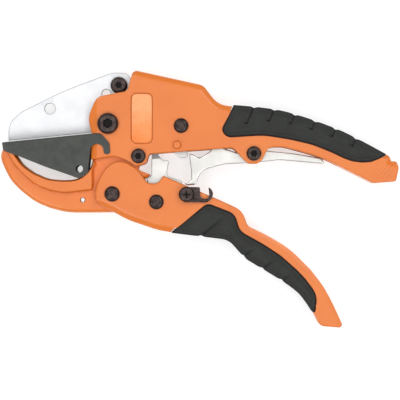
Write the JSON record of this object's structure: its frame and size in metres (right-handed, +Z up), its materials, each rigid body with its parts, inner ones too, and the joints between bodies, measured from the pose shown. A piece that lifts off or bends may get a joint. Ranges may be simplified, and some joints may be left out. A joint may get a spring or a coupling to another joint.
{
  "type": "ratcheting pipe cutter",
  "caption": "Hand-held ratcheting plastic pipe cutter with a hooked lower jaw, pivoting blade, pawl-driven lower handle, release trigger, locking latch and clip-on flat anvil.",
  "frame": {"origin": "centre of the bounding box's bottom face, with the cutter lying on its far side", "axes": "+X from the jaws towards the handles' ends, +Y across the tool from the lower handle to the upper handle, +Z up through its thickness towards the side with the screw heads"},
  "size_m": [0.2592, 0.1674, 0.027],
  "materials": {
    "orange_casting": "powder-coated orange, satin",
    "grip_rubber": "matt black overmould, fine texture",
    "label": "smooth domed insert, blank",
    "dark_sheet": "matt dark grey coated sheet steel",
    "blade_steel": "bright satin ground steel",
    "lever_steel": "zinc plated, satin",
    "plain_steel": "plain machined steel",
    "black_fastener": "black oxide, satin"
  },
  "bodies": {
    "frame": {"upper_body": "orange_casting", "upper_grip": "grip_rubber", "label_plate": "label", "lower_jaw": "orange_casting", "flat_anvil": "dark_sheet", "jaw_pin": "blade_steel", "pivot_bolt": "black_fastener", "pivot_nut": "black_fastener", "pivot_sleeve": "plain_steel", "jaw_screw": "black_fastener", "holding_pawl_rivet": "black_fastener", "trigger_screw": "black_fastener", "handle_pivot_rivet": "black_fastener", "holding_pawl_spring": "plain_steel", "trigger_spring": "plain_steel", "handle_spring": "plain_steel"},
    "blade_unit": {"blade": "blade_steel", "ratchet_sector": "plain_steel", "blade_screw": "black_fastener"},
    "handle_unit": {"lower_handle": "orange_casting", "lower_grip": "grip_rubber", "drive_pawl_rivet": "black_fastener", "latch_screw": "black_fastener", "drive_pawl_spring": "plain_steel"},
    "drive_pawl": {"drive_pawl": "lever_steel"},
    "holding_pawl": {"holding_pawl": "lever_steel"},
    "trigger": {"trigger": "lever_steel"},
    "latch": {"latch_hook": "black_fastener"}
  },
  "joints": [
    {"name": "blade_swing", "type": "hinge", "parent": "frame", "child": "blade_unit", "pos_m": [-0.0596, 0.0491, 0.0115], "axis": [0, 0, -1], "range_deg": [0, 38]},
    {"name": "handle_squeeze", "type": "hinge", "parent": "frame", "child": "handle_unit", "pos_m": [-0.0568, 0.0033, 0.0115], "axis": [0, 0, 1], "range_deg": [0, 25], "stiffness_Nm_per_rad": 0.6, "springref_deg": -14.32},
    {"name": "drive_pawl_pivot", "type": "hinge", "parent": "handle_unit", "child": "drive_pawl", "pos_m": [-0.0281, -0.0019, 0.0115], "axis": [0, 0, 1], "range_deg": [-24, 0]},
    {"name": "trigger_press", "type": "hinge", "parent": "frame", "child": "trigger", "pos_m": [0.0353, 0.0296, 0.0115], "axis": [0, 0, 1], "range_deg": [0, 3.5], "stiffness_Nm_per_rad": 0.3, "springref_deg": -8.59},
    {"name": "holding_pawl_pivot", "type": "hinge", "parent": "frame", "child": "holding_pawl", "pos_m": [-0.012, 0.0477, 0.0115], "axis": [0, 0, 1], "range_deg": [-7.5, 0]},
    {"name": "latch_swing", "type": "hinge", "parent": "handle_unit", "child": "latch", "pos_m": [-0.0085, 0.003, 0.0115], "axis": [0, 0, 1], "range_deg": [0, 74]}
  ],
  "couplings": [
    {"joint": "drive_pawl_pivot", "follows": "handle_squeeze", "ratio": -0.904},
    {"joint": "holding_pawl_pivot", "follows": "trigger_press", "ratio": -2}
  ]
}
